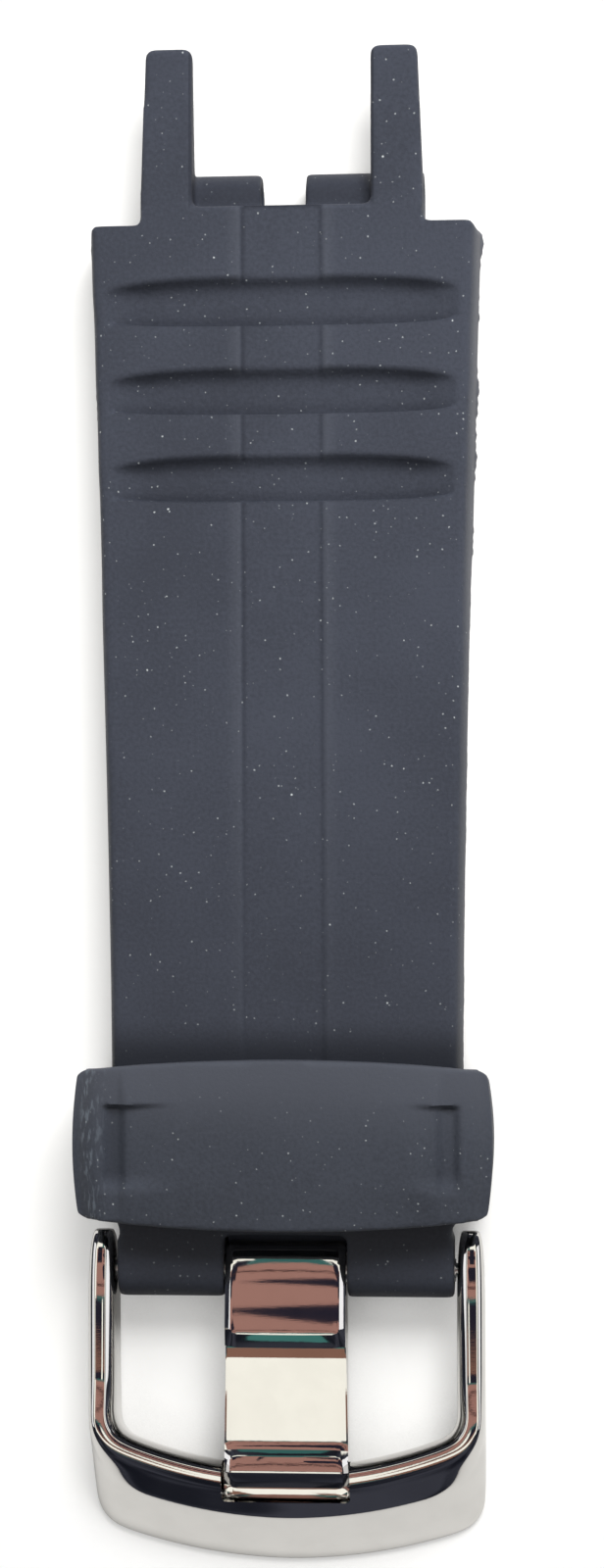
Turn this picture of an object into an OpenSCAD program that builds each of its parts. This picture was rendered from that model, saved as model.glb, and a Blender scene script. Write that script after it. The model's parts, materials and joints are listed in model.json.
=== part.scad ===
// Buckle half of a dive computer strap.
// A rubber strap with two case prongs bends at three flex grooves, a rubber
// keeper slides along its tail, and a polished frame and a wide tongue swing
// on a sprung bar. X runs across the strap, the tail points along -Y and the
// origin is the middle of the bore for the case's own bar.

/* [Strap] */
// Distance from the case bar axis to the buckle bar axis
strap_length = 75.5; // [72:0.1:84]
// Width across the shoulders at the case end
case_width = 27.2; // [25:0.1:28]
// Width of the tail at the buckle end
tail_width = 24.4; // [22:0.1:24.8]
// Thickness at the case end
case_thickness = 5.2; // [5:0.1:6]
// Thickness of the tail, which the keeper rides on
tail_thickness = 3.8; // [3.5:0.1:3.9]
// Width of the shallow channel down the middle of the top face
channel_width = 5.7; // [4:0.1:7]
// Depth of that channel
channel_depth = 0.2; // [0.1:0.05:0.4]

/* [Flex grooves] */
// Distance from the case bar axis to the middle of the first top groove
first_groove = 7.8; // [6.5:0.1:9]
// Distance between top grooves
groove_pitch = 6.1; // [5:0.05:6.8]
// Width of a top groove at its middle
groove_width = 3.3; // [2.8:0.1:3.8]
// Depth of a top groove at its middle
groove_depth = 1.2; // [0.8:0.1:1.3]
// Rubber between each end of a top groove and the strap's edge
groove_margin = 0.9; // [0.5:0.1:2]
// Width of the grooves across the wrist side
wrist_groove_width = 3.2; // [2.8:0.1:4]
// Depth of the grooves across the wrist side
wrist_groove_depth = 1.1; // [0.6:0.1:1.3]

/* [Case end] */
// Radius of the bore for the case's bar
case_bore_radius = 1; // [0.8:0.05:1.1]
// Length of that bore, across the root of both prongs
case_bore_span = 19.8; // [19:0.1:21]
// Thickness of the rounded ledge that holds the bar
ledge_thickness = 3.4; // [3.2:0.1:3.8]
// How far the top face ends behind the bar axis
ledge_setback = 1.05; // [0.6:0.05:1.5]
// Width of the notch in the ledge that bares the bar
bar_notch_width = 3.1; // [2:0.1:5]
// How far the shoulders lie behind the bar axis
shoulder_setback = 2.3; // [2:0.05:3]
// Clear width between the prongs
prong_gap = 12.5; // [11:0.1:13.4]
// Distance from the bar axis to the prong tips
prong_length = 10.1; // [8:0.1:12]
// Width of a prong at its tip
prong_tip_width = 3.3; // [2.5:0.05:3.5]
// Thickness of a prong where it leaves the ledge
prong_root_thickness = 2.6; // [2.2:0.1:3]
// Thickness of a prong at its tip
prong_tip_thickness = 1; // [0.8:0.1:1.8]

/* [Keeper] */
// Length of the keeper along the strap, at its middle
keeper_length = 11.7; // [10.5:0.1:14]
// Length of the keeper along the strap, at its ends
keeper_end_length = 9.9; // [8:0.1:10]
// Thickness of the keeper's sides and top
keeper_wall = 1.55; // [1.3:0.05:2]
// Thickness of the keeper under the strap
keeper_floor = 1.3; // [0.9:0.05:1.3]
// Height left above the strap for the other strap half
keeper_room = 2.7; // [2.5:0.1:3.6]
// How far the keeper's top rises from its sides to its middle
keeper_crown = 0.5; // [0.2:0.1:0.8]
// Distance from the buckle bar axis to the keeper as it is stored
keeper_start = 3.3; // [3:0.1:5]
// How far the keeper slides towards the case
keeper_travel = 30; // [20:1:32]

/* [Frame] */
// Thickness of the frame's side bars
frame_wall = 1.9; // [1.4:0.05:2]
// Height of the side bars where they hold the sprung bar
frame_bar_height = 3.6; // [3.2:0.1:3.9]
// How far the side bars reach past the sprung bar, towards the keeper
frame_arm_reach = 2.8; // [2.2:0.1:2.9]
// Distance from the bar axis to the bow's inner wall, at the middle
frame_reach = 13.2; // [12.5:0.1:16]
// Radius of the bow's inner wall, seen from above
bow_radius = 29; // [25:0.5:40]
// Distance from the bow's inner wall to its outer foot
bow_depth = 7.9; // [7:0.1:8.5]
// Height of the bow's ridge above the bar axis
ridge_height = 2.4; // [2.2:0.1:2.8]

/* [Tongue] */
// Width of the tongue
tongue_width = 8.4; // [6:0.1:9]
// Radius of the barrel that turns on the bar
barrel_radius = 1.7; // [1.6:0.05:1.8]
// Height of the tongue's front block above the bar axis
block_height = 2; // [1.9:0.05:2.2]
// Distance from the bar axis to the end of that block
block_reach = 4.7; // [4:0.1:6]
// Thickness of the tongue between its block and its tip
saddle_thickness = 1.5; // [1.2:0.1:1.8]
// How far the tongue's tip reaches past the bow's inner wall
tip_overlap = 2.3; // [1.6:0.1:2.8]
// Height of the tongue's tip above the bow's ridge
tip_rise = 0.35; // [0.1:0.05:0.6]

/* [Sprung bar] */
// Radius of the bar's tube
bar_radius = 0.9; // [0.8:0.05:0.95]
// Wall of the tube
tube_wall = 0.22; // [0.18:0.02:0.26]
// Radius of the bar's tips
tip_radius = 0.5; // [0.4:0.02:0.5]
// How far each tip travels when it is pushed in
tip_travel = 1.2; // [1.15:0.05:1.3]
// Turns of the spring inside the tube
spring_turns = 12; // [8:1:14]

/* [Hidden] */
$fn = 64;

rubber = "#2b2e36";
polished_steel = "#d9d9dc";
bar_steel = "#a9abb0";

// Clearances: between metal that turns or slides, beside the tongue, under
// its tip, beside the frame's bars, and round the keeper.
running_gap = 0.05;
tongue_side_gap = 0.1;
tongue_seat_gap = 0.12;
bar_side_gap = 0.3;
keeper_gap = 0.1;
keeper_side_gap = 0.2;
// Cutters reach this far past what they cut.
past = 1;

// Strap, worked out. Heights are above the plane that the part lies on.
ledge_radius = ledge_thickness / 2;
bar_height = case_thickness - tail_thickness / 2;
tail_underside = case_thickness - tail_thickness;
knuckle_radius = tail_thickness / 2;
knuckle_width = tail_width - 1.2;
knuckle_zone = frame_arm_reach + 0.3;
shoulder_corner = 0.7;
taper_start = -shoulder_setback;
taper_end = 15 - strap_length;
taper_power = 1.35;
taper_steps = 12;
wrist_grooves = [0.5, 1.5, 2.5];
groove_fullness = 4;
thick_end = -groove_y(2.5) + wrist_groove_width / 2;
keeper_middle = -strap_length + keeper_start + keeper_length / 2;
keeper_stop_gap = 0.4;
// The underside thins over at least this length, below the last groove
shortest_thinning = 2;
keeper_run_start = -(keeper_middle + keeper_travel + keeper_length / 2);
thin_start = max(keeper_run_start - keeper_stop_gap, thick_end + shortest_thinning);
slot_width = tongue_width + 2 * tongue_side_gap;
slot_reach = barrel_radius + 0.85;
bar_bore_radius = bar_radius + running_gap;
prong_tip_drop = 0.3;
prong_corner = 0.6;
arc_steps = 8;

// Keeper, worked out
keeper_widest = half_width(keeper_middle + keeper_travel + keeper_length / 2);
keeper_half_inside = keeper_widest + keeper_side_gap;
keeper_half_width = keeper_half_inside + keeper_wall;
keeper_ceiling = case_thickness + keeper_room;
keeper_eaves = keeper_ceiling + keeper_wall - keeper_crown / 2;
keeper_base = tail_underside - keeper_gap - keeper_floor;
keeper_corner = 1.8;
keeper_inner_corner = 0.6;
panel_width = 2 * keeper_half_width - 5;
panel_length = keeper_end_length * 0.6;
panel_depth = 0.35;

// Frame, worked out
frame_half_inside = knuckle_width / 2 + bar_side_gap;
frame_half_width = frame_half_inside + frame_wall;
bow_y = -strap_length - frame_reach + bow_radius;
bar_end_radius = frame_bar_height / 2;
bar_top = bar_height + 2;
ridge_level = bar_height + ridge_height;
ridge_offset = 0.5;
ridge_softness = 0.4;
ridge_lip = 0.1;
bar_run = -strap_length - bow_y
    + sqrt(pow(bow_radius + ridge_softness, 2) - pow(frame_half_inside, 2));
bar_end_drop = 0.1;
bow_inner_foot = 1.3;
foot_width = 0.8;
foot_edge = 0.3;
face_bulge = 1.1;
window_corner = 1.7;
outline_corner = 2.2;
outline_spare = 0.4;

// Tongue, worked out. Heights are above the bar axis.
tongue_reach = frame_reach + tip_overlap;
tip_height = ridge_height + tip_rise;
tip_length = 3.3;
tip_corner = 0.7;
seat_height = 0.9;
saddle_height = 1.15;
saddle_sag = 0.1;

// Sprung bar, worked out
collar_face = frame_half_inside - running_gap;
collar_length = 0.6;
collar_radius = bar_radius - 0.12;
tube_end = collar_face - collar_length - tip_travel - running_gap;
tube_inner_radius = bar_radius - tube_wall;
lip_length = 0.4;
lip_radius = tip_radius + running_gap;
head_radius = tube_inner_radius - running_gap;
head_length = 4;
head_outer = tube_end - lip_length - running_gap;
head_inner = head_outer - head_length;
tip_recess = 0.75;
tip_end = frame_half_width - tip_recess;
eye_radius = tip_radius + running_gap;
spring_wire_radius = 0.11;
spring_radius = head_radius - spring_wire_radius - 0.03;
spring_half_length = head_inner - 0.02;
spring_rings = 8;
spring_sides = 6;

// Half the width of the strap at a place along it
function half_width(y) =
    let (share = max(0, min(1, (y - taper_end) / (taper_start - taper_end))))
    tail_width / 2 + (case_width - tail_width) / 2 * pow(share, taper_power);

// Place of a top groove, by its number from 0. The wrist side's grooves lie
// halfway between, at half numbers.
function groove_y(number) = -(first_groove + number * groove_pitch);

// Points round a centre, from one angle to another
function arc(centre, radius, from, to, steps) =
    [for (i = [0:steps])
        let (angle = from + (to - from) * i / steps)
        centre + radius * [cos(angle), sin(angle)]];

// Points between two ends, bulging to the left of the way from a to b, or to
// the right where the bulge is negative
function bowed(a, b, bulge, steps) =
    let (
        chord = b - a,
        reach = norm(chord),
        depth = abs(bulge),
        radius = (reach * reach / 4 + depth * depth) / (2 * depth),
        left = sign(bulge) * [-chord[1], chord[0]] / reach,
        centre = (a + b) / 2 + left * (depth - radius),
        turn = -sign(bulge) * 2 * asin(reach / 2 / radius),
        first = atan2(a[1] - centre[1], a[0] - centre[0])
    )
    arc(centre, radius, first, first + turn, steps);

// Half of a window or an outline whose end is an arc round the bow's centre,
// with a round corner that runs into both
function bow_corner(half, radius, corner) =
    let (
        x = half - corner,
        y = -sqrt(pow(radius - corner, 2) - x * x),
        meet = atan2(y, x)
    )
    arc([x, y], corner, 0, meet, arc_steps);

// Plan of a window or an outline: straight sides, round corners and the arc
function bow_plan(half, radius, corner, front) =
    let (
        right = bow_corner(half, radius, corner),
        last = right[len(right) - 1],
        angle = atan2(last[1], last[0]),
        left = [for (i = [len(right) - 1:-1:0]) [-right[i][0], right[i][1]]],
        bow = arc([0, 0], radius, angle, -180 - angle, 2 * arc_steps)
    )
    concat(
        [[-half, front - bow_y], [half, front - bow_y]], right,
        [for (i = [1:len(bow) - 2]) bow[i]], left
    );

// Extrudes a side view, drawn as (distance towards the tail, height), across X
module across(width) {
    rotate([90, 0, -90])
        translate([0, 0, -width / 2]) linear_extrude(width) children();
}

// A round bar along X
module along_x(radius, from, to) {
    translate([from, 0, 0]) rotate([0, 90, 0]) cylinder(r = radius, h = to - from);
}

// Lowers what stands on the resting plane so that the case bar is the origin
module in_frame() {
    translate([0, 0, -ledge_radius]) children();
}

// Moves what is drawn round the buckle bar's axis to its place
module at_bar() {
    in_frame() translate([0, -strap_length, bar_height]) children();
}

// Side view of the whole strap: round ledge, step, flat top, round knuckle
module strap_side() {
    polygon(concat(
        arc([0, ledge_radius], ledge_radius, 270, 90, 2 * arc_steps),
        [[ledge_setback, ledge_thickness], [ledge_setback, case_thickness]],
        arc([strap_length, bar_height], knuckle_radius, 90, -90, 3 * arc_steps),
        [[thin_start, tail_underside], [thick_end, 0]]
    ));
}

// Plan of the strap, with shoulders, tapering sides and the narrow knuckle
module strap_plan() {
    shoulder = half_width(taper_start) - shoulder_corner;
    knuckle_start = -strap_length + knuckle_zone;
    right = concat(
        [[case_bore_span / 2, ledge_radius + past], [case_bore_span / 2, -shoulder_setback]],
        arc([shoulder, -shoulder_setback - shoulder_corner], shoulder_corner, 90, 0, arc_steps),
        [for (i = [1:taper_steps])
            let (y = taper_start - shoulder_corner
                + (taper_end - taper_start + shoulder_corner) * i / taper_steps)
            [half_width(y), y]],
        [[tail_width / 2, knuckle_start + tail_width / 2 - knuckle_width / 2],
         [knuckle_width / 2, knuckle_start],
         [knuckle_width / 2, -strap_length - knuckle_radius - past]]
    );
    polygon(concat(right, [for (i = [len(right) - 1:-1:0]) [-right[i][0], right[i][1]]]));
}

// The two prongs that lie over the case's lug, thinner towards their tips
module prongs() {
    root = case_bore_span / 2;
    inner = prong_gap / 2;
    tip_top = case_thickness - prong_tip_drop;
    buried = ledge_setback + past;
    intersection() {
        across(case_width) polygon([
            [buried, case_thickness], [buried, case_thickness - prong_root_thickness],
            [0, case_thickness - prong_root_thickness],
            [-prong_length, tip_top - prong_tip_thickness], [-prong_length, tip_top],
            [0, case_thickness]
        ]);
        for (side = [-1, 1])
            linear_extrude(case_thickness + past) polygon([
                for (p = concat(
                    [[inner, -buried], [root, -buried], [root, 0]],
                    arc([inner + prong_tip_width - prong_corner, prong_length - prong_corner],
                        prong_corner, 0, 90, arc_steps),
                    arc([inner + prong_corner, prong_length - prong_corner],
                        prong_corner, 90, 180, arc_steps)
                )) [side * p[0], p[1]]
            ]);
    }
}

// A barrel that cuts a top groove: deepest in the middle, gone at both ends
module top_groove(y) {
    lift = (groove_width * groove_width / 4 - groove_depth * groove_depth) / (2 * groove_depth);
    reach = half_width(y) - groove_margin;
    translate([0, y, case_thickness + lift]) rotate([0, 90, 0]) rotate_extrude()
        polygon(concat(
            [[0, -reach]],
            [for (i = [-arc_steps:arc_steps])
                let (share = i / arc_steps)
                [lift + groove_depth * (1 - pow(abs(share), groove_fullness)), reach * share]],
            [[0, reach]]
        ));
}

// A round-bottomed groove right across the wrist side
module wrist_groove(y) {
    lift = (wrist_groove_width * wrist_groove_width / 4 - wrist_groove_depth * wrist_groove_depth)
        / (2 * wrist_groove_depth);
    translate([0, y, -lift]) along_x(lift + wrist_groove_depth, -case_width, case_width);
}

// The strap in one piece, before it is parted at its flex grooves
module whole_strap() {
    difference() {
        union() {
            intersection() {
                across(case_width + past) strap_side();
                linear_extrude(case_thickness + past) strap_plan();
            }
            prongs();
        }
        translate([0, 0, ledge_radius])
            along_x(case_bore_radius, -case_bore_span, case_bore_span);
        translate([-bar_notch_width / 2, -ledge_setback, -past])
            cube([bar_notch_width, ledge_setback + ledge_radius + past, ledge_thickness + 2 * past]);
        for (number = [0:2]) top_groove(groove_y(number));
        for (number = wrist_grooves) wrist_groove(groove_y(number));
        translate([-channel_width / 2, -strap_length - past, case_thickness - channel_depth])
            cube([channel_width, strap_length - ledge_setback - 2 + past, channel_depth + past]);
        translate([-slot_width / 2, -strap_length - knuckle_radius - past, -past])
            cube([slot_width, slot_reach + knuckle_radius + past, case_thickness + 2 * past]);
        translate([0, -strap_length, bar_height])
            along_x(bar_bore_radius, -tail_width, tail_width);
    }
}

// One length of the strap, between two places along it
module strap_length_between(from, to) {
    color(rubber) in_frame() intersection() {
        whole_strap();
        translate([-case_width, to, -past])
            cube([2 * case_width, from - to, case_thickness + 2 * past]);
    }
}

module strap_case_end() {
    strap_length_between(prong_length + past, groove_y(0));
}

module strap_first_rib() {
    strap_length_between(groove_y(0), groove_y(1));
}

module strap_second_rib() {
    strap_length_between(groove_y(1), groove_y(2));
}

module strap_tail() {
    strap_length_between(groove_y(2), -strap_length - knuckle_radius - past);
}

// Section of the keeper's outside: round lower corners and a crowned top
module keeper_outside() {
    half = keeper_half_width;
    corner = keeper_corner;
    left_end = [-half + corner, keeper_eaves];
    right_end = [half - corner, keeper_eaves];
    polygon(concat(
        arc([-half + corner, keeper_base + corner], corner, 180, 270, arc_steps),
        arc([half - corner, keeper_base + corner], corner, 270, 360, arc_steps),
        arc([half - corner, keeper_eaves - corner], corner, 0, 84, arc_steps),
        bowed(right_end, left_end, -keeper_crown, 2 * arc_steps),
        arc([-half + corner, keeper_eaves - corner], corner, 96, 180, arc_steps)
    ));
}

// Section of the keeper's passage
module keeper_inside() {
    half = keeper_half_inside;
    low = tail_underside - keeper_gap;
    high = keeper_ceiling;
    corner = keeper_inner_corner;
    polygon(concat(
        arc([-half + corner, low + corner], corner, 180, 270, arc_steps),
        arc([half - corner, low + corner], corner, 270, 360, arc_steps),
        arc([half - corner, high - corner], corner, 0, 90, arc_steps),
        arc([-half + corner, high - corner], corner, 90, 180, arc_steps)
    ));
}

// The keeper: a rubber loop, longer in the middle, with a sunk plain panel
module keeper() {
    half = keeper_half_width + past;
    end = keeper_end_length / 2;
    swell = (keeper_length - keeper_end_length) / 2;
    top = keeper_eaves + keeper_crown;
    color(rubber) in_frame() translate([0, keeper_middle, 0]) difference() {
        intersection() {
            rotate([90, 0, 0]) translate([0, 0, -keeper_length / 2 - past])
                linear_extrude(keeper_length + 2 * past) difference() {
                    keeper_outside();
                    keeper_inside();
                }
            linear_extrude(top + past) polygon(concat(
                bowed([-half, end], [half, end], swell, 2 * arc_steps),
                bowed([half, -end], [-half, -end], swell, 2 * arc_steps)
            ));
        }
        translate([-panel_width / 2, -panel_length / 2, top - panel_depth])
            cube([panel_width, panel_length, panel_depth + past]);
    }
}

// Section of the bow, as (distance from the bow's centre, height)
module bow_section() {
    inner = bow_radius;
    foot = bow_radius + bow_depth;
    polygon(concat(
        [[inner - 4, bow_inner_foot], [inner - 4, ridge_level - ridge_softness],
         [inner + ridge_lip, ridge_level - ridge_softness],
         [inner + ridge_softness, ridge_level]],
        bowed([inner + ridge_offset, ridge_level], [foot, foot_edge], face_bulge, arc_steps),
        [[foot - foot_edge, 0], [foot - foot_edge - foot_width, 0]]
    ));
}

// Side view of one side bar: a round end past the sprung bar, and a straight
// run down to the bow
module side_bar_side() {
    round_end = frame_arm_reach - bar_end_radius;
    middle = bar_top - bar_end_radius;
    polygon(concat(
        [[-round_end, middle - bar_end_radius]],
        arc([-round_end, middle], bar_end_radius, 265, 90, 2 * arc_steps),
        [[bar_run, ridge_level - bar_end_drop], [bar_run, bow_inner_foot]]
    ));
}

// The frame: two side bars with an eye each, a broad bow and the seat that is
// cut in it for the tongue's tip
module buckle_frame() {
    front = -strap_length + frame_arm_reach + past;
    color(polished_steel) in_frame() difference() {
        intersection() {
            union() {
                translate([0, bow_y, 0]) rotate_extrude() bow_section();
                for (side = [-1, 1])
                    translate([side * (frame_half_width - frame_wall), -strap_length, 0])
                        across(2 * frame_wall) side_bar_side();
            }
            translate([0, bow_y, -past]) linear_extrude(case_thickness + 3 * past)
                polygon(bow_plan(frame_half_width, bow_radius + bow_depth + outline_spare,
                                 outline_corner, front));
        }
        translate([0, bow_y, -past]) linear_extrude(case_thickness + 3 * past)
            polygon(bow_plan(frame_half_inside, bow_radius, window_corner, front));
        translate([0, -strap_length, bar_height])
            along_x(eye_radius, -frame_half_width - past, frame_half_width + past);
        translate([-slot_width / 2, -strap_length - tongue_reach - tongue_seat_gap,
                   bar_height + seat_height])
            cube([slot_width, tip_overlap + tongue_seat_gap + past, case_thickness]);
    }
}

// Side view of the tongue round the bar's axis: a raised block over the
// barrel, a low saddle, and a raised tip that lies in the bow
module tongue_side() {
    tip_start = tongue_reach - tip_length;
    under = seat_height + tongue_seat_gap;
    polygon(concat(
        arc([0, 0], barrel_radius, 300, 160, 2 * arc_steps),
        [[-barrel_radius, block_height - 0.7], [-barrel_radius + 0.6, block_height],
         [block_reach - 0.7, block_height], [block_reach - 0.1, block_height - 0.4],
         [block_reach, saddle_height]],
        bowed([block_reach + 0.1, saddle_height], [tip_start, saddle_height], -saddle_sag, arc_steps),
        [[tip_start + 0.1, tip_height - 0.8], [tip_start + 0.6, tip_height],
         [tongue_reach - 1.1, tip_height], [tongue_reach - 0.2, tip_height - 0.8],
         [tongue_reach, tip_height - 1.2], [tongue_reach, under],
         [frame_reach - 0.3, under],
         [frame_reach - 0.7, saddle_height - saddle_thickness],
         [block_reach, saddle_height - saddle_thickness]]
    ));
}

module buckle_tongue() {
    half = tongue_width / 2;
    color(polished_steel) at_bar() difference() {
        intersection() {
            across(tongue_width) tongue_side();
            translate([0, 0, -tip_height - past]) linear_extrude(2 * (tip_height + past)) polygon(concat(
                [[-half, barrel_radius + past], [-half, -tongue_reach + tip_corner]],
                arc([-half + tip_corner, -tongue_reach + tip_corner], tip_corner, 180, 270, arc_steps),
                arc([half - tip_corner, -tongue_reach + tip_corner], tip_corner, 270, 360, arc_steps),
                [[half, barrel_radius + past]]
            ));
        }
        along_x(bar_bore_radius, -tongue_width, tongue_width);
    }
}

// The bar's tube, drawn in at both ends to hold the tips' heads
module bar_tube() {
    color(bar_steel) at_bar() difference() {
        along_x(bar_radius, -tube_end, tube_end);
        along_x(tube_inner_radius, -tube_end + lip_length, tube_end - lip_length);
        along_x(lip_radius, -tube_end - past, tube_end + past);
    }
}

// One tip of the bar: a head inside the tube, a shoulder to push, a round tip
module bar_pin(side) {
    color(bar_steel) at_bar() mirror([side < 0 ? 1 : 0, 0, 0]) union() {
        along_x(head_radius, head_inner, head_outer);
        along_x(tip_radius, head_inner + 1, tip_end);
        along_x(collar_radius, collar_face - collar_length, collar_face);
    }
}

module bar_pin_left() {
    bar_pin(-1);
}

module bar_pin_right() {
    bar_pin(1);
}

// Middle of the spring's wire at a share of its length
function spring_point(share) =
    let (angle = 360 * spring_turns * share, x = spring_half_length - spring_wire_radius)
    [x * (2 * share - 1), spring_radius * cos(angle), spring_radius * sin(angle)];

function spring_ring(share) =
    let (
        angle = 360 * spring_turns * share,
        outward = [0, cos(angle), sin(angle)],
        along = [1, 0, 0]
    )
    [for (s = [0:spring_sides - 1])
        let (turn = 360 * s / spring_sides)
        spring_point(share) + spring_wire_radius * (cos(turn) * outward + sin(turn) * along)];

// The spring that presses both tips outwards
module bar_spring() {
    count = spring_turns * spring_rings;
    points = [for (i = [0:count]) each spring_ring(i / count)];
    last = count * spring_sides;
    sides = [for (i = [0:count - 1], s = [0:spring_sides - 1])
        let (a = i * spring_sides + s, b = i * spring_sides + (s + 1) % spring_sides)
        each [[a, b, b + spring_sides], [a, b + spring_sides, a + spring_sides]]];
    ends = [for (s = [1:spring_sides - 2])
        each [[0, s + 1, s], [last, last + s, last + s + 1]]];
    pitch = 2 * (spring_half_length - spring_wire_radius) / spring_turns;
    echo(spring_gap_to_itself = pitch - 2 * spring_wire_radius);
    color(bar_steel) at_bar() polyhedron(points, concat(sides, ends));
}

strap_case_end();
strap_first_rib();
strap_second_rib();
strap_tail();
keeper();
buckle_frame();
buckle_tongue();
bar_tube();
bar_pin_left();
bar_pin_right();
bar_spring();
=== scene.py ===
import json
import math

import bpy
import numpy as np
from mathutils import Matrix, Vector

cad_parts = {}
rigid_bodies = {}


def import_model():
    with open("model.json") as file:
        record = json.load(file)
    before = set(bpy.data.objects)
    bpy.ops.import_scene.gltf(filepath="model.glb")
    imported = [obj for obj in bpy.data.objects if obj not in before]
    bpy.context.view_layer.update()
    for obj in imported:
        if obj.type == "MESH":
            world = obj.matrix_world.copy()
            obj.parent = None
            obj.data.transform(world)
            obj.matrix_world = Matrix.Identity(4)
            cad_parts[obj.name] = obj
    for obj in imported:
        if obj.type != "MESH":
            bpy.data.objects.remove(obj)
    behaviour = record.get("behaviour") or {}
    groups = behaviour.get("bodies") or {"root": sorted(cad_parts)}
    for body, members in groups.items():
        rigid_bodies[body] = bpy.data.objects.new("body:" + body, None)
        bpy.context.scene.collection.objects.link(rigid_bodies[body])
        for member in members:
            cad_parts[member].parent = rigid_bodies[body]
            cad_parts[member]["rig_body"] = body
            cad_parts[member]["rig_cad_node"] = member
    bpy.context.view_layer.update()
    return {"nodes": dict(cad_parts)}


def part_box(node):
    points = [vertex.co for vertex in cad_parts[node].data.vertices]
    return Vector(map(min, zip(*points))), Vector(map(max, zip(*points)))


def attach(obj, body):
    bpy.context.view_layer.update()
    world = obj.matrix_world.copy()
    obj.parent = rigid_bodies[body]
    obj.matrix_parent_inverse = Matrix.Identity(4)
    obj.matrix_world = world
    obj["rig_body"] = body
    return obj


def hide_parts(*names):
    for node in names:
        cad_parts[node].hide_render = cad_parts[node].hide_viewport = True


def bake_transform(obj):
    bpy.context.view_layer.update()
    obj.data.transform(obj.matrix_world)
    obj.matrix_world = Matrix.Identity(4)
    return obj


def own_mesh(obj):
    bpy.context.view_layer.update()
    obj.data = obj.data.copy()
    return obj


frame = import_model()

bpy.ops.object.select_all(action="DESELECT")
scene = bpy.context.scene
mm = 0.001

# The camera looks straight down from 22 cm above the floor, a little to the
# right of the strap and level with its middle, on a frame of 616 by 1600 pixels.
photo_height = 1600
focal_pixels = 3136.9
sensor_long_side = 36
camera_place = (17.82 * mm, -44.49 * mm, 216.77 * mm)
camera_turn = (0.0135, 0.0772, -0.0036)
bpy.ops.object.camera_add(location=camera_place, rotation=camera_turn)
camera = bpy.context.object
camera.data.sensor_width = sensor_long_side
camera.data.lens = sensor_long_side * focal_pixels / photo_height
camera.data.clip_start = 0.01
scene.camera = camera
scene.view_settings.view_transform = "Standard"


# The floor and the light: a plain pale floor under a pale ceiling, one soft lamp
# beyond the prongs, and the coloured cards that only polished steel shows.
class Wire:
    """A shader socket that works in sums: an expression adds its Math nodes."""

    def __init__(self, tree, socket=None):
        self.tree = tree
        self.socket = socket

    def node(self, kind, settings={}, inputs={}, output=0):
        """Adds a node, sets it up, feeds its sockets and gives one output."""
        node = self.tree.nodes.new(kind)
        for name, value in settings.items():
            if name == "stops":
                ramp = node.color_ramp.elements
                while len(ramp) < len(value):
                    ramp.new(0.5)
                for stop, (place, colour) in zip(ramp, value):
                    stop.position = place
                    stop.color = (*colour, 1)
            else:
                setattr(node, name, value)
        for name, value in inputs.items():
            if isinstance(value, Wire):
                self.tree.links.new(value.socket, node.inputs[name])
            else:
                node.inputs[name].default_value = value
        return Wire(self.tree, node.outputs[output] if node.outputs else None)

    def maths(self, operation, first, second=0.0):
        return self.node("ShaderNodeMath", {"operation": operation}, {0: first, 1: second})

    def __add__(self, other):
        return self.maths("ADD", self, other)

    def __sub__(self, other):
        return self.maths("SUBTRACT", self, other)

    def __mul__(self, other):
        return self.maths("MULTIPLY", self, other)

    def __rsub__(self, other):
        return self.maths("SUBTRACT", other, self)

    def __lt__(self, other):
        return self.maths("LESS_THAN", self, other)

    def __gt__(self, other):
        return self.maths("GREATER_THAN", self, other)

    __radd__ = __add__
    __rmul__ = __mul__

    def rise(self, low, high):
        """0 below low, 1 above high, and a soft step between them."""
        return self.node("ShaderNodeMapRange", {"interpolation_type": "SMOOTHSTEP"},
                         {"Value": self, "From Min": low, "From Max": high})

    def rise_in_mm(self, low, high):
        """The same step on a place along the piece, between two places in mm."""
        return self.rise(low * mm, high * mm)

    def band(self, start, full, fade, end):
        """1 from full to fade, and soft steps to 0 at start and end, all in mm."""
        return self.rise_in_mm(start, full) * (1 - self.rise_in_mm(fade, end))

    def mix(self, first, second):
        """A colour between two, this socket being the share of the second."""
        first, second = [c if isinstance(c, Wire) else (*c, 1) for c in (first, second)]
        return self.node("ShaderNodeMix", {"data_type": "RGBA"},
                         {"Factor": self, 6: first, 7: second}, output=2)


def new_finish(name):
    """A bare material: gives it and its wires."""
    material = bpy.data.materials.new(name)
    material.use_nodes = True
    material.node_tree.nodes.clear()
    return material, Wire(material.node_tree)


# The floor's height, its gap to what stands on it, its middle and its width, in mm
table_height = -1.7
floor_gap, floor_middle, floor_width = 0.02, -44, 3000
bpy.ops.mesh.primitive_plane_add(
    size=floor_width * mm, location=(0, floor_middle * mm, (table_height - floor_gap) * mm))
floor = bpy.context.object
floor.name = "floor"
# Its white to other things and to the camera, and the glow that only the camera sees:
# its colour, its strength, and the shares of open sky at which it starts and is full
lit_white, seen_white = (0.80, 0.79, 0.77), (0.62, 0.615, 0.60)
glow_white, glow_strength, glow_start, glow_full = (1, 0.995, 0.98, 1), 0.42, 0.04, 0.5
pale_floor, wires = new_finish("pale_floor")
seen = wires.node("ShaderNodeLightPath", output="Is Camera Ray")
floor_grain = wires.node("ShaderNodeTexNoise", {}, {
    "Vector": wires.node("ShaderNodeTexCoord", output="Object"), "Scale": 900, "Detail": 3})
floor_bump = wires.node("ShaderNodeBump", {}, {"Strength": 0.25, "Distance": 0.0001, "Height": floor_grain})
matte = wires.node("ShaderNodeBsdfDiffuse", {}, {
    "Color": seen.mix(lit_white, seen_white), "Normal": floor_bump})
open_sky = wires.node("ShaderNodeAmbientOcclusion", {"samples": 8}, {"Distance": 0.012}, output="AO")
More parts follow.
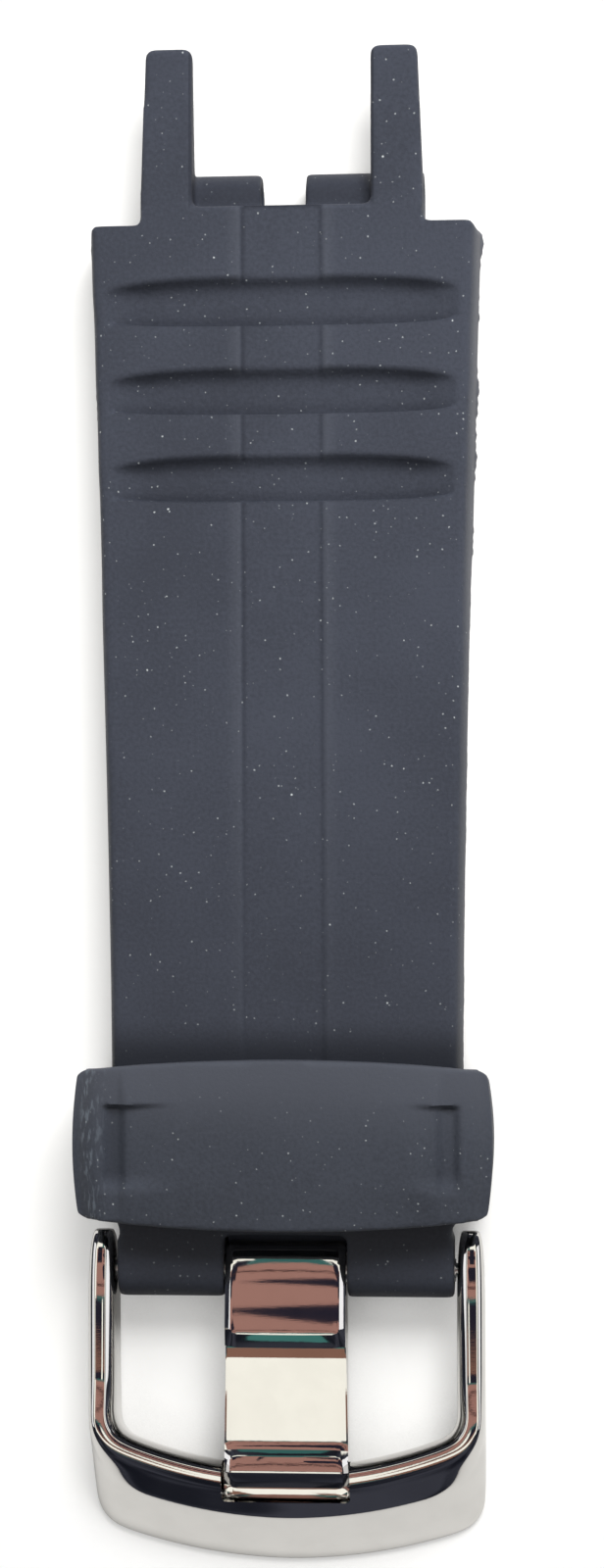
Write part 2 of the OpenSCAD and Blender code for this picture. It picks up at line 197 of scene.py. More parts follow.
glow = wires.node("ShaderNodeEmission", {}, {
    "Color": glow_white, "Strength": seen * open_sky.rise(glow_start, glow_full) * glow_strength})
sheet = wires.node("ShaderNodeAddShader", {}, {0: matte, 1: glow})
# Bent down, the strap passes below the floor. So the floor can be looked through
# from below, well away from what stands on it, and wherever something lies near
# below it. Its underside glows as softly as the room for every ray but the camera's.
below = wires.node("ShaderNodeNewGeometry", output="Backfacing")
soft_glow = wires.node("ShaderNodeEmission", {}, {"Color": glow_white, "Strength": 1.0})
both_sides = wires.node("ShaderNodeMixShader", {}, {0: below, 1: sheet, 2: soft_glow})
near_sky = wires.node("ShaderNodeAmbientOcclusion", {"samples": 10}, {"Distance": 0.04}, output="AO")
near_depth = wires.node("ShaderNodeAmbientOcclusion", {"samples": 32, "inside": True},
                        {"Distance": 0.07}, output="AO")
# Shares of open space: above, where the floor turns clear, and beneath, where it turns solid
clear_above, solid_beneath = (0.88, 0.985), (0.968, 0.999)
clear = wires.maths("MAXIMUM", near_sky.rise(*clear_above), 1 - near_depth.rise(*solid_beneath))
clear = wires.maths("MAXIMUM", below, clear)
see_through = wires.node("ShaderNodeBsdfTransparent")
floor_skin = wires.node("ShaderNodeMixShader", {}, {0: seen * clear, 1: both_sides, 2: see_through})
wires.node("ShaderNodeOutputMaterial", {}, {"Surface": floor_skin})
floor.data.materials.append(pale_floor)

room = bpy.data.worlds.new("pale_room")
scene.world = room
room.use_nodes = True
room.node_tree.nodes.clear()
wires = Wire(room.node_tree)
mirrored = wires.node("ShaderNodeLightPath", output="Is Glossy Ray")
way = wires.node("ShaderNodeTexCoord", output="Generated")
sideways, away, upwards = [wires.node("ShaderNodeSeparateXYZ", {}, {0: way}, output=o)
                           for o in ("X", "Y", "Z")]
# Mirrored, the room is dark up to eye level, with two windows, under a cream ceiling.
# Its places are a direction's parts sideways, away from the buckle and upwards, of 1.
ceiling_edge, ceiling_waver, cream = (0.72, 0.80), 0.10, (0.99, 0.97, 0.885)
darkest_wall, palest_wall = (0.008, 0.009, 0.014), (0.040, 0.042, 0.056)
window_side, window_foot, window_top = 0.50, 0.35, 0.62
window_middle, window_half, window_light = 0.10, 0.36, (0.95, 0.95, 0.98)
patches = wires.node("ShaderNodeTexNoise", {}, {"Vector": way, "Scale": 3.5, "Detail": 2})
ceiling = (upwards + (patches - 0.5) * ceiling_waver).rise(*ceiling_edge)
walls = patches.rise(0.35, 0.65).mix(darkest_wall, palest_wall)
side_window = wires.maths("ABSOLUTE", sideways) > window_side
side_window = side_window * (upwards > window_foot) * (upwards < window_top)
side_window = side_window * (wires.maths("ABSOLUTE", away - window_middle) < window_half)
walls = side_window.mix(walls, window_light)
view = ceiling.mix(walls, cream)
# On the buckle's side come a brown band and, in the middle, a teal one before the dark.
# Each reaches up to its top, and in the middle the last two stop lower by their notch
bands_from, middle_left, middle_half = -0.30, 0.08, 0.075
brown_top, brown_band = 0.88, (0.23, 0.118, 0.085)
teal_top, teal_notch, teal_band = 0.81, 0.05, (0.05, 0.17, 0.155)
dark_top, dark_notch, dark_waver = 0.80, 0.24, 0.08
near_side = away < bands_from
middle = wires.maths("ABSOLUTE", sideways + middle_left) < middle_half
view = (near_side * (upwards < brown_top)).mix(view, brown_band)
view = (near_side * (upwards + middle * teal_notch < teal_top)).mix(view, teal_band)
dark_rise = upwards + middle * dark_notch + (patches - 0.5) * dark_waver
view = (near_side * (dark_rise < dark_top)).mix(view, walls)
# How bright the room is to things, how much brighter to the camera, and mirrored
room_light, camera_extra, mirrored_light = 0.34, 0.66, 1.3
backdrop = wires.node("ShaderNodeLightPath", output="Is Camera Ray")
plain = wires.node("ShaderNodeBackground", {}, {
    "Color": (1, 1, 1, 1), "Strength": backdrop * camera_extra + room_light})
around = wires.node("ShaderNodeBackground", {}, {"Color": view, "Strength": mirrored_light})
both = wires.node("ShaderNodeMixShader", {}, {0: mirrored, 1: plain, 2: around})
wires.node("ShaderNodeOutputWorld", {}, {"Surface": both})

# The lamp's place, what it points at and its width, in m, and its power in W
lamp_place, lamp_target = (0.10, 0.24, 0.31), (0, -0.04, 0)
lamp_width, lamp_power = 0.22, 2.7
bpy.ops.object.light_add(type="AREA", location=lamp_place)
lamp = bpy.context.object
lamp.data.size = lamp_width
lamp.data.energy = lamp_power
lamp.rotation_euler = (Vector(lamp_target) - lamp.location).to_track_quat("-Z", "Y").to_euler()
lamp.visible_glossy = False


def add_card(name, corners, colour):
    """A plain glowing card that only the polished steel shows."""
    bpy.ops.mesh.primitive_plane_add(size=1)
    card = bpy.context.object
    card.name = name
    for corner, place in zip(card.data.vertices, corners):
        corner.co = Vector(place) * mm
    card.visible_camera = card.visible_diffuse = card.visible_shadow = False
    card.visible_transmission = card.visible_volume_scatter = False
    finish, wires = new_finish(name)
    light = wires.node("ShaderNodeEmission", {}, {"Color": (*colour, 1), "Strength": 1.0})
    wires.node("ShaderNodeOutputMaterial", {}, {"Surface": light})
    card.data.materials.append(finish)


warm, brown, thin_brown = (0.45, 0.235, 0.195), (0.26, 0.135, 0.10), (0.06, 0.03, 0.03)
dark, teal = (0.022, 0.020, 0.034), (0.05, 0.16, 0.15)
# Overhead hang the wide cards, then the two at the ends, and lowest the wedges and
# lines: left, right, near and far edge and height of each, in mm
high, middle_high, low = 262, 259, 256
wide_left, wide_right = (-150, -34), (-9, 120)
near_row, next_row = (-140, -119), (-119, -98)
for name, (left, right), (near, far), height, colour in (
        ("warm_card", (-110, 110), (-98, 45), high, warm),
        ("left_brown_card", wide_left, near_row, high, brown),
        ("right_brown_card", wide_right, near_row, high, brown),
        ("left_dark_card", wide_left, next_row, high, dark),
        ("right_dark_card", wide_right, next_row, high, dark),
        ("left_end_card", (-90, -42), (-30, 60), middle_high, dark),
        ("right_end_card", (1, 50), (-30, 60), middle_high, dark),
        ("first_wedge_end", (-11, 90), (-12, 6), low, dark),
        ("second_wedge_end", (-11, 90), (-70, -38), low, dark),
        ("first_line", (-90, 90), (18, 22), low, thin_brown),
        ("second_line", (-90, 90), (-80, -77), low, thin_brown),
        ("third_line", (-90, 90), (-98, -93), low, teal)):
    add_card(name, [(x, y, height) for y in (near, far) for x in (left, right)], colour)
add_card("first_wedge", [(-30, -3, low), (-11, -12, low), (-30, -1, low), (-11, 6, low)], dark)
add_card("second_wedge", [(-30, -50, low), (-11, -70, low), (-30, -46, low), (-11, -38, low)], dark)
# Two teal cards beyond the prongs lean towards the strap
add_card("teal_card", [(-42, 45, high), (0, 45, high), (-42, 110, 215), (0, 110, 215)], teal)
add_card("low_teal_card", [(-42, 110, 165), (-4, 110, 165), (-42, 146, 132), (-4, 146, 132)], teal)


# The strap: one moulding of matte dark blue-grey rubber, with two prongs that
# lie over the case, three flex grooves across its face and a thin line of
# flash where the halves of the mould met, half way up its sides.
strap_nodes = ["strap_case_end", "strap_first_rib", "strap_second_rib", "strap_tail"]
groove_places = (-7.8, -13.9, -20.0)
# Heights of the face and of the tail's underside. Then the sprung bar's axis: where
# it lies along the strap, and its height over the floor and in the model
strap_top = 5.2 + table_height
tail_under = 1.4 + table_height
bar_line = -75.5
bar_level = 3.3
bar_centre = bar_level + table_height
# Points nearer to each other than this merge: as a rule, and along the strap's cuts
weld, cut_weld = 0.000001, 0.00002


def copy_merged(name, nodes):
    """One mesh from copies of CAD nodes, whose points merge where they meet."""
    bpy.ops.object.select_all(action="DESELECT")
    for node in nodes:
        copy = frame["nodes"][node].copy()
        copy.data = copy.data.copy()
        copy.parent = None
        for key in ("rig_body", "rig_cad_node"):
            del copy[key]
        scene.collection.objects.link(copy)
        copy.select_set(True)
        bpy.context.view_layer.objects.active = copy
    if len(nodes) > 1:
        bpy.ops.object.join()
    piece = bpy.context.object
    piece.name = name
    piece.data.materials.clear()
    bpy.ops.object.mode_set(mode="EDIT")
    bpy.ops.mesh.select_all(action="SELECT")
    bpy.ops.mesh.remove_doubles(threshold=weld)
    bpy.ops.object.mode_set(mode="OBJECT")
    return piece


def pick(piece):
    """Selects one piece alone and makes it the active one."""
    bpy.ops.object.select_all(action="DESELECT")
    piece.select_set(True)
    bpy.context.view_layer.objects.active = piece


def finish_with(piece, kind, **settings):
    """Adds a modifier, sets it and applies it."""
    bpy.context.view_layer.objects.active = piece
    modifier = piece.modifiers.new(kind.title(), kind)
    for name, value in settings.items():
        setattr(modifier, name, value)
    bpy.ops.object.modifier_apply(modifier=modifier.name)


def soft_step(low, high, value):
    share = np.clip((value - low) / (high - low), 0, 1)
    return share * share * (3 - 2 * share)


# Half the strap's width at the tail, how much wider it is at the case, and where
# it begins to widen, over which length and how evenly
tail_half, widening = 12.2, 1.4
taper_end, taper_length, taper_power = -60.5, 58.2, 1.35


def strap_half_width(y):
    """Half the strap's width at the top of its side, in mm."""
    return tail_half + widening * np.clip((y - taper_end) / taper_length, 0, 1) ** taper_power


def get_places(mesh):
    """A mesh's vertices in mm, as one row each for x, y and z."""
    places = np.empty(3 * len(mesh.vertices))
    mesh.vertices.foreach_get("co", places)
    return places.reshape(-1, 3).T / mm


def set_places(mesh, x, y, z):
    mesh.vertices.foreach_set("co", (np.array([x, y, z]).T * mm).ravel())
    mesh.update()


strap = copy_merged("strap", strap_nodes)
pick(strap)
bpy.ops.object.mode_set(mode="EDIT")
bpy.ops.mesh.select_all(action="DESELECT")
bpy.ops.object.mode_set(mode="OBJECT")
# The walls where its nodes met at the grooves come out
for face in strap.data.polygons:
    place = face.center.y / mm
    on_cut = min(abs(place - groove) for groove in groove_places) < 0.001
    face.select = on_cut and abs(face.normal.y) > 0.99
bpy.ops.object.mode_set(mode="EDIT")
bpy.ops.mesh.delete(type="FACE")
bpy.ops.mesh.select_all(action="SELECT")
bpy.ops.mesh.remove_doubles(threshold=cut_weld)
bpy.ops.object.mode_set(mode="OBJECT")
# The CAD's grooves and channel are filled level, to be cut again below: how deep down
# and how near to the sides that reaches on the face, and then on the ledge's edge
face_start, face_end, fill_depth, fill_margin = -3, -61, 1.4, 0.3
ledge_start, ledge_end, ledge_depth = -1, -3.1, 0.25
x, y, z = get_places(strap.data)
on_face = (z > strap_top - fill_depth) & (y < face_start) & (y > face_end)
on_face = on_face & (abs(x) < strap_half_width(y) - fill_margin)
on_face = on_face | ((z > strap_top - ledge_depth) & (y < ledge_start) & (y > ledge_end))
set_places(strap.data, x, y, np.where(on_face, strap_top, z))
strap_voxel = 0.22
finish_with(strap, "REMESH", mode="VOXEL", voxel_size=strap_voxel * mm, adaptivity=0)
finish_with(strap, "SMOOTH", factor=0.5, iterations=4)

# Into the flat face go the channel and the three grooves, each a bowed lens
# with a sloping upper wall and a steep lower one.
groove_tops = (-6.04, -12.42, -18.51)
groove_ends = (-9.40, -15.63, -21.72)
# A groove's section from its upper rim down: the share of its width, and the depth there
wall_shares = (0, 0.03, 0.10, 0.19, 0.30, 0.45, 0.70, 0.86, 0.95, 1, 1.0001)
wall_depths = (0, 0.05, 0.36, 0.62, 0.78, 0.87, 0.93, 0.99, 1.09, 1.12, 0)
# Its rim at the strap's sides, over which length and how evenly it runs out there,
# and the strip at its lower wall whose points are drawn into one steep line
groove_rim, runout_length, runout_power = 0.7, 3.4, 0.6
steep_strip, steep_line = 0.22, 0.04
channel_depth, channel_half, channel_corner = 0.2, 2.85, 0.11
x, y, z = get_places(strap.data)
half = strap_half_width(y)
reach = half - groove_rim
channel = soft_step(channel_half - channel_corner, channel_half + channel_corner, abs(x))
channel = channel_depth * (1 - channel)
depth = 0
for top, end in zip(groove_tops, groove_ends):
    share = (top - y) / (top - end)
    fall = np.interp(share, wall_shares, wall_depths)
    depth = depth + fall * soft_step(0, 1, (reach - abs(x)) / runout_length) ** runout_power
    y = np.where((y > end) & (y < end + steep_strip), end + steep_line, y)
# They are cut from here on, into what lies this near to the face and this far from the sides
cut_start, cut_depth, cut_margin = -1.15, 0.16, 0.25
on_face = (z > strap_top - cut_depth) & (y < cut_start) & (y > face_end) & (abs(x) < half - cut_margin)
z = np.where(on_face, strap_top - np.hypot(channel, depth), z)
# At its ends each groove's rims bow towards each other: the lower and the upper one's
# reach and power, the height from which they do, and where along the strap they lie
end_bow, end_bow_power, top_bow, top_bow_power = 0.35, 4, 0.88, 3.7
bow_foot, bow_full = 1.0, 2.4
rows = (-24.5, -21.72, -18.51, -17.07, -15.63, -12.42, -10.9, -9.40, -6.04, -3.6)
share = np.clip(abs(x) / reach, 0, 1.05)
bow = end_bow * share ** end_bow_power * np.interp(y, rows, (0, 1, 0, 0, 1, 0, 0, 1, 0, 0))
bow = bow - top_bow * share ** top_bow_power * np.interp(y, rows, (0, 0, 1, 0, 0, 1, 0, 0, 1, 0))
y = y + bow * soft_step(bow_foot, bow_full, z)

# Its sides are widest at the mould's parting line: how far the right one stands out
# there, how much less along the tail, and the left one, then their draft and its power
right_bulge, bulge_loss, left_bulge, side_draft, draft_power = 0.30, 0.08, 0.08, 0.32, 1.6
# The flash on that line: its width, how ragged it is, its height, and how much of
# it is left along the tail and on the left side
flash_width, flash_ragged, flash_height, tail_flash, left_flash = 0.05, 0.22, 0.28, 0.15, 0.4
# Along the strap, where its underside thins, where its sides' shape begins and ends, and
# where flash and bulge fade. Then how far in from the side that shape reaches
thin_range, side_begins, side_ends = (-24, -31), (-2.2, -3.2), (-72.6, -71.6)
flash_fades, bulge_fades = (-29, -21), (-23, -29)
side_inner, side_outer = 2.2, 0.2
under = table_height + (tail_under - table_height) * soft_step(*thin_range, y)
parting = (under + strap_top) / 2
reach = (strap_top - under) / 2
side = soft_step(half - side_inner, half - side_outer, abs(x))
side = side * soft_step(*side_begins, y) * soft_step(*side_ends, y)
level = abs(z - parting) / reach
ragged = np.sin(y * 0.83 + 1) * np.sin(y * 0.37) + 0.45 * np.sin(y * 6.1 + 2) * np.sin(y * 2.3)
near_case = tail_flash + (1 - tail_flash) * soft_step(*flash_fades, y)
fin = near_case * np.clip(flash_width + flash_ragged * ragged, 0, 1) * np.where(x > 0, 1, left_flash)
fin = fin * np.clip(1 - level * reach / flash_height, 0, 1)
bulge = np.where(x > 0, right_bulge - bulge_loss * soft_step(*bulge_fades, y), left_bulge)
x = x + np.sign(x) * side * (bulge - (bulge + side_draft) * level ** draft_power + fin)
# The slot's end hugs the tongue's barrel, and the knuckles nearly fill the frame
slot_end, hug_radius, least_hug, hug_blend = 2.55, 1.93, 1.2, 0.3
slot_half, slot_from, slot_to = 4.7, -72.2, -73.2
knuckle_swell, swell_across, swell_along = 0.15, (11.0, 11.5), (-72.9, -73.4)
at_slot = (abs(x) < slot_half) & (y < slot_from) & (y > slot_to)
below = z - bar_centre
hug = np.sqrt(np.clip(hug_radius ** 2 - below ** 2, least_hug ** 2, None))
y = y - (slot_end - hug) * at_slot * soft_step(hug_blend, -hug_blend, below)
x = x + knuckle_swell * np.sign(x) * soft_step(*swell_across, abs(x)) * soft_step(*swell_along, y)
set_places(strap.data, x, y, z)


# How much its clouds differ, how ragged its dust specks are, in m, and their grey
cloud_contrast, speck_wander, speck_grey = 0.16, 0.00011, (0.60, 0.64, 0.64)


def rubber(name, place, top, dust):
    """Matte moulded rubber: a fine grain, faint clouds and white dust specks."""
    material, wires = new_finish(name)
    across, along, up = [wires.node("ShaderNodeSeparateXYZ", {}, {0: place(wires)}, output=o)
                         for o in ("X", "Y", "Z")]
    here = place(wires)
    clouds = wires.node("ShaderNodeTexNoise", {}, {"Vector": here, "Scale": 90, "Detail": 3})
    grain = wires.node("ShaderNodeTexNoise", {}, {"Vector": here, "Scale": 4000, "Detail": 2})
    shade = (clouds * 0.5 + grain * 0.5).rise(0.32, 0.68)
    colour = shade.mix(tuple((1 - cloud_contrast) * c for c in top),
                       tuple((1 + cloud_contrast) * c for c in top))
    # Dust, coarse, fine and lint: a ragged speck in some of the cells. Each row has
    # the cells' scale, the share that holds a speck, its size, strength and thinness
    wander = wires.node("ShaderNodeTexNoise", {}, {"Vector": here, "Scale": 7000}, output="Color")
    ragged = wires.node("ShaderNodeVectorMath", {"operation": "MULTIPLY_ADD"},
                        {0: wander, 1: (speck_wander,) * 3, 2: here})
    for scale, share, size, strength, thin in ((900, dust, 0.05, 0.9, 1), (2100, 0.50, 0.10, 0.55, 1),
                                               (650, 0.10, 0.035, 0.8, 0.16)):
        along_lint = wires.node("ShaderNodeMapping", {}, {
            "Vector": ragged, "Rotation": (0, 0, 0.7 - 0.7 * (thin == 1)), "Scale": (1, thin, 1)})
        cells = {"Vector": along_lint, "Scale": scale}
        spot = wires.node("ShaderNodeTexVoronoi", {}, cells, output="Distance")
        which = wires.node("ShaderNodeTexVoronoi", {}, cells, output="Color")
        chance = wires.node("ShaderNodeSeparateColor", {}, {0: which}, output="Red")
        kind = wires.node("ShaderNodeSeparateColor", {}, {0: which}, output="Green")
        speck = (chance > 1 - share) * (1 - spot.rise(size * 0.3, size + kind * size))
        colour = (speck * (0.2 + kind * 0.8) * strength).mix(colour, speck_grey)
    return material, wires, (across, along, up), colour, grain, clouds


def close_rubber(wires, colour, grain, clouds):
    """Feeds a rubber's colour and grain to its shader."""
    bump = wires.node("ShaderNodeBump", {}, {
        "Strength": 0.35, "Distance": 0.00006, "Height": grain})
    skin = wires.node("ShaderNodeBsdfPrincipled", {}, {
        "Base Color": colour, "Roughness": clouds * 0.12 + 0.56,
        "Specular IOR Level": 0.34, "Normal": bump})
    wires.node("ShaderNodeOutputMaterial", {}, {"Surface": skin})


def rest_place(wires):
    return wires.node("ShaderNodeAttribute", {"attribute_name": "rest"}, output="Vector")


strap_grey, strap_dust = (0.044, 0.049, 0.065), 0.55
strap_rubber, wires, (across, along, up), colour, grain, clouds = rubber(
    "strap_rubber_skin", rest_place, strap_grey, strap_dust)
# Painted shade darkens the channel's corners, more on the left, and the lips outside them are painted paler,
# as dust and a painted highlight.
on_face = up.rise_in_mm(strap_top - 0.6, strap_top - 0.35) * (along < -1.2 * mm)
painted_corner_shade, lip_dust_and_highlight, pale_flank_grey = (0.016, 0.018, 0.026), (0.13, 0.14, 0.165), (0.30, 0.30, 0.31)
recess_shade_and_clean, painted_keeper_shade = (0.018, 0.020, 0.028), (0.016, 0.018, 0.024)
for side, shadow in ((-1, 0.5), (1, 0.26)):
    out = across * side - channel_half * mm
    corner = out.band(-0.45, -0.12, -0.12, 0.06)
    lip = out.band(-0.02, 0.12, 0.12, 1.3)
    fades = 0.3 + 0.7 * along.rise_in_mm(-62, -24)
    colour = (corner * on_face * shadow * fades).mix(colour, painted_corner_shade)
    colour = (lip * on_face * fades * 0.14).mix(colour, lip_dust_and_highlight)
# Painted shade, with less dust, darkens the grooves, the low tabs and the case end
deep = (1 - up.rise_in_mm(strap_top - 0.75, strap_top - 0.2)) * (up > 1.9 * mm)
deep = deep * (wires.maths("ABSOLUTE", across) < 12.2 * mm) * (along > -24 * mm)
tab = along.rise_in_mm(-1.3, -0.9) * (wires.maths("ABSOLUTE", across) < 6.5 * mm)
shade_and_less_dust = deep * 0.06 + tab * 0.42 + along.rise_in_mm(-1.3, 0.5) * 0.12
colour = shade_and_less_dust.mix(colour, recess_shade_and_clean)
# Painted shade: darker under and beside the keeper, less on the knuckles, and a little darker towards the
# tail
keeper_and_tail_shade = 0.75 * (1 - along.rise_in_mm(-60.6, -57.6)) * (0.35 + 0.65 * along.rise_in_mm(-71.5, -70))
keeper_and_tail_shade = keeper_and_tail_shade + 0.18 * (1 - along.rise_in_mm(-60, -36))
colour = keeper_and_tail_shade.mix(colour, painted_keeper_shade)
# The flanks below the face are paler, in clouds.
flank = 1 - up.rise_in_mm(strap_top - 1.6, strap_top - 0.3)
off_case = along < -2.4 * mm
flank_side = wires.maths("ABSOLUTE", across) > 11.3 * mm
colour = (flank * off_case * flank_side * (0.06 + clouds * 0.2)).mix(colour, pale_flank_grey)
close_rubber(wires, colour, grain, clouds)

strap.data.materials.append(strap_rubber)
rest = strap.data.attributes.new("rest", "FLOAT_VECTOR", "POINT")
rest.data.foreach_set("vector", [c for vertex in strap.data.vertices for c in vertex.co])
strap.data.update()

# Cut in the ribs between the grooves, into three lengths that each hold one groove
rib_cuts = (40, -10.85, -16.95, -120)
rubber_crease = 50
bends = (("strap_case_length", "case_end", "first_rib", -5.9, -9.7),
         ("strap_rib_length", "first_rib", "second_rib", -12.0, -15.8),
         ("strap_tail_length", "second_rib", "tail", -18.1, -21.9))
for number, (name, before, after, start, end) in enumerate(bends):
    length = strap.copy()
    length.data = strap.data.copy()
    length.name = name
    scene.collection.objects.link(length)
    pick(length)
    bpy.ops.object.mode_set(mode="EDIT")
    for cut, outward in ((rib_cuts[number], 1), (rib_cuts[number + 1], -1)):
        bpy.ops.mesh.select_all(action="SELECT")
        bpy.ops.mesh.bisect(plane_co=(0, cut * mm, 0), plane_no=(0, outward, 0),
                            use_fill=True, clear_outer=True, threshold=0.0000001)
    bpy.ops.object.mode_set(mode="OBJECT")
    bpy.ops.object.shade_smooth_by_angle(angle=math.radians(rubber_crease))
    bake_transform(length)
    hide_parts(*(("strap_case_end",), ("strap_first_rib",),
                          ("strap_second_rib", "strap_tail"))[number])
bpy.data.objects.remove(strap)


# The keeper: a loop of the same rubber, crowned across its top, longer in the
# middle, with a shallow panel whose corners show as four small dents. The
# panel is left plain.
keeper = copy_merged("keeper_loop", ["keeper"])
keeper_low, keeper_high = [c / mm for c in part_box("keeper")]
keeper_middle = (keeper_low.y + keeper_high.y) / 2
keeper_half = keeper_high.x
keeper_top = 9.7 + table_height
half_length, panel_end = 4.95, 11.7
# The CAD's panel is filled level: what lies over this height and within these halves
crown_foot, filled_half, filled_half_length = 7.4, 13.2, 4.2
keeper_voxel = 0.17
x, y, z = get_places(keeper.data)
in_panel = (z > crown_foot) & (abs(x) < filled_half) & (abs(y - keeper_middle) < filled_half_length)
set_places(keeper.data, x, y, np.where(in_panel, keeper_top, z))
finish_with(keeper, "REMESH", mode="VOXEL", voxel_size=keeper_voxel * mm, adaptivity=0)
finish_with(keeper, "SMOOTH", factor=0.5, iterations=5)
# Its ends bow and it shortens towards its underside. The crown falls away at
# the ends, and the panel sinks into it towards each of its own ends.
x, y, z = get_places(keeper.data)
along_end = (y - keeper_middle) / half_length
end_narrowing, side_shortening, under_shortening, hollow_widening = 0.024, 0.075, 0.15, 0.12
# How far its crown falls across, at its two ends, and towards its edges
across_fall, end_fall, end_fall_power, edge_fall, edge_half = 0.40, 0.75, 1.5, 0.42, 5.6
# The panel: its depth, where it begins to sink to the left and to the right, where
# its end walls stand, and how far its long edges slant over 3 mm
panel_depth, left_sink, right_sink, panel_wall, panel_slant = 0.58, 6.6, 8.4, 12.5, 0.10
# Inside, its side walls stay straight and clear of the strap over the whole travel
hollow = soft_step(12.0, 12.6, abs(x)) * soft_step(13.9, 13.3, abs(x)) * (z > -0.6) * (z < 6.2)
narrowing = end_narrowing * np.clip(along_end, -1.2, 1.2) ** 2
x = x * (1 - narrowing * soft_step(9, 13.5, abs(x)) * (1 - hollow))
x = x + hollow_widening * np.sign(x) * hollow
y = y - (y - keeper_middle) * side_shortening * soft_step(13.0, 14.5, abs(x)) ** 2
y = y - (y - keeper_middle) * under_shortening * (1 - soft_step(table_height, 6.5, z))
fall = across_fall * (abs(x) / keeper_half) ** 2
fall = fall + end_fall * soft_step(11.2, 15.2, abs(x)) ** end_fall_power
fall = fall + edge_fall * ((y - keeper_middle) / edge_half) ** 2
inner = np.where(x < 0, left_sink, right_sink)
sunk = panel_depth * soft_step(inner, panel_end, abs(x)) * (1 - soft_step(panel_end, panel_wall, abs(x)))
level = (y - keeper_middle) + panel_slant * (abs(x) - 10) / 3
sunk = sunk * soft_step(2.90, 2.58, level) * soft_step(-3.4, -1.9, level)
on_top = soft_step(5.6, crown_foot, z)
set_places(keeper.data, x, y, z - on_top * (fall + sunk))
pick(keeper)
bpy.ops.object.shade_smooth_by_angle(angle=math.radians(rubber_crease))


def object_place(wires):
    return wires.node("ShaderNodeTexCoord", output="Object")


keeper_grey, keeper_dust, painted_lit_edge = (0.041, 0.046, 0.059), 0.45, (0.058, 0.063, 0.078)
scuffed_grey, painted_end_shade = (0.22, 0.26, 0.30), (0.022, 0.025, 0.034)
keeper_rubber, wires, (across, along, up), colour, grain, clouds = rubber(
    "keeper_rubber_skin", object_place, keeper_grey, keeper_dust)
# Painted light: it is paler towards its upper edge, on the lamp's side.
colour = along.rise_in_mm(keeper_middle - 1, keeper_middle + 5.5).mix(colour, painted_lit_edge)
# Its left end is scuffed grey by wear.
worn = across.band(-14.1, -13.5, -13.4, -11.6)
streaks = wires.node("ShaderNodeTexNoise", {}, {
    "Vector": wires.node("ShaderNodeMapping", {}, {
        "Vector": object_place(wires), "Rotation": (0, 0, 0.5), "Scale": (2.0, 0.5, 1)}),
    "Scale": 2300, "Detail": 3})
colour = (worn * streaks.rise(0.50, 0.68) * 0.38).mix(colour, scuffed_grey)
# Painted shade darkens the panel's own ends, more on the left.
far = wires.maths("ABSOLUTE", across)
end_wall = far.band(9.6, 11.6, 11.8, 12.6)
in_rows = 1 - wires.maths("ABSOLUTE", along - keeper_middle * mm).rise_in_mm(2.1, 2.9)
in_rows = in_rows * (0.5 - 0.3 * (across > 0))
colour = (end_wall * in_rows).mix(colour, painted_end_shade)
close_rubber(wires, colour, grain, clouds)
keeper.data.materials.append(keeper_rubber)
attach(keeper, "keeper")
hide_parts("keeper")


# The frame: one piece of polished steel, ground from a thick blank. Two bars
# with round ends run down from the sprung bar, turn the corners as a bright
# ridge and carry a broad bow, whose face slopes to a steep lower wall.
bow_middle = -59.7
corner_start = -83.0
# The middle of a side bar across, its round end, and the share of the way from
# there to the bow that it takes up
arm_middle, arm_end = 12.85, -72.7
arm_length, arm_share = 10.3, 0.6
arm_end_height, arm_end_width = 3.5, 0.45


def guide(half, radius, corner, share):
    """A point of a line along the frame: down the bar to its corner while share
    goes from 0 to 1, round the corner to 2, and along the bow to 3."""
    middle = half - corner
    low = math.sqrt((radius - corner) ** 2 - middle ** 2)
    turned = math.atan2(low, middle)
    if share < 1:
        return half, corner_start + share * (bow_middle - low - corner_start)
    if share < 2:
        angle = (share - 1) * turned
        return middle + corner * math.cos(angle), bow_middle - low - corner * math.sin(angle)
    angle = turned + (share - 2) * (math.pi / 2 - turned)
    return radius * math.cos(angle), bow_middle - radius * math.sin(angle)


# Round the section from the inner wall: half width at the bars, radius at the
# bow, radius of the corner, and height over the floor at the bars and the bow
section = [
    (11.90, 29.85, 1.70, 2.30, 1.90), (11.90, 29.55, 1.70, 3.80, 3.30),
    (11.93, 29.42, 1.72, 4.30, 4.20), (12.02, 29.46, 1.80, 4.62, 4.66),
    (12.20, 29.56, 1.90, 4.90, 5.00), (12.52, 29.80, 2.00, 5.10, 5.44),
    (12.64, 29.98, 2.05, 5.17, 5.58), (13.24, 30.48, 2.30, 5.15, 5.62),
    (13.38, 30.64, 2.45, 5.11, 5.59), (13.66, 31.12, 2.95, 4.94, 5.48),
    (13.80, 32.00, 3.70, 4.72, 4.88), (13.87, 33.00, 4.60, 4.35, 4.24),
    (13.88, 33.22, 4.75, 4.00, 4.02), (13.87, 35.10, 3.80, 3.00, 2.15),
    (13.84, 36.75, 2.50, 2.25, 0.50), (13.74, 36.75, 2.40, 1.85, 0.02),
    (13.30, 36.20, 2.20, 1.70, 0.02), (12.60, 32.60, 2.00, 1.70, 0.55),
    (12.05, 30.30, 1.80, 1.75, 1.05), (11.90, 30.00, 1.70, 1.95, 1.30)]
arm_stations = [(-72.72, 0.22), (-72.92, 0.44), (-73.45, 0.66), (-74.35, 0.82), (-75.6, 0.93),
                (-77.4, 1), (-79.8, 1), (-82.2, 1)]
bow_stations = [0.0, 0.4, 0.75, 1.0, 1.3, 1.65, 2.0, 2.12, 2.3, 2.5, 2.7, 2.88, 3.0]


